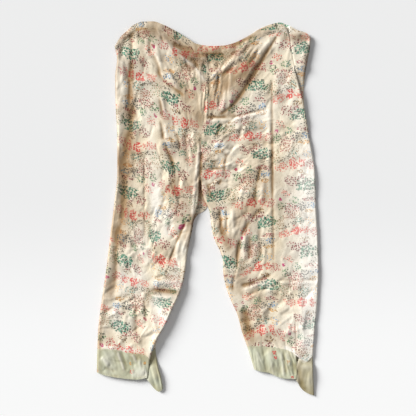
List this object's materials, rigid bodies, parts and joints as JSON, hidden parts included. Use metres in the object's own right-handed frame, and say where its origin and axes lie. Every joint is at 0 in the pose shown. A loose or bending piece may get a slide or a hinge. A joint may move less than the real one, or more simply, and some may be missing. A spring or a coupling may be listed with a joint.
{
  "type": "capri pants laid flat",
  "caption": "Loose calf-length silk capri pants with a drawstring casing and plain satin cuffs, lying flat and creased, front uppermost.",
  "frame": {"origin": "middle of the footprint, on the surface that the garment lies on", "axes": "+X to the wearer's left, +Y up to the waist, +Z away from the surface, out of the front of the garment"},
  "size_m": [0.4869, 0.821, 0.0115],
  "materials": {
    "figured_silk": "satin",
    "plain_satin": "satin"
  },
  "bodies": {
    "root": {"front_right_leg": "figured_silk", "front_left_leg": "figured_silk", "back_right_leg": "figured_silk", "back_left_leg": "figured_silk", "waistband_front": "figured_silk", "waistband_back": "figured_silk", "cuff_right_front": "plain_satin", "cuff_left_front": "plain_satin", "cuff_right_back": "plain_satin", "cuff_left_back": "plain_satin"}
  },
  "joints": []
}
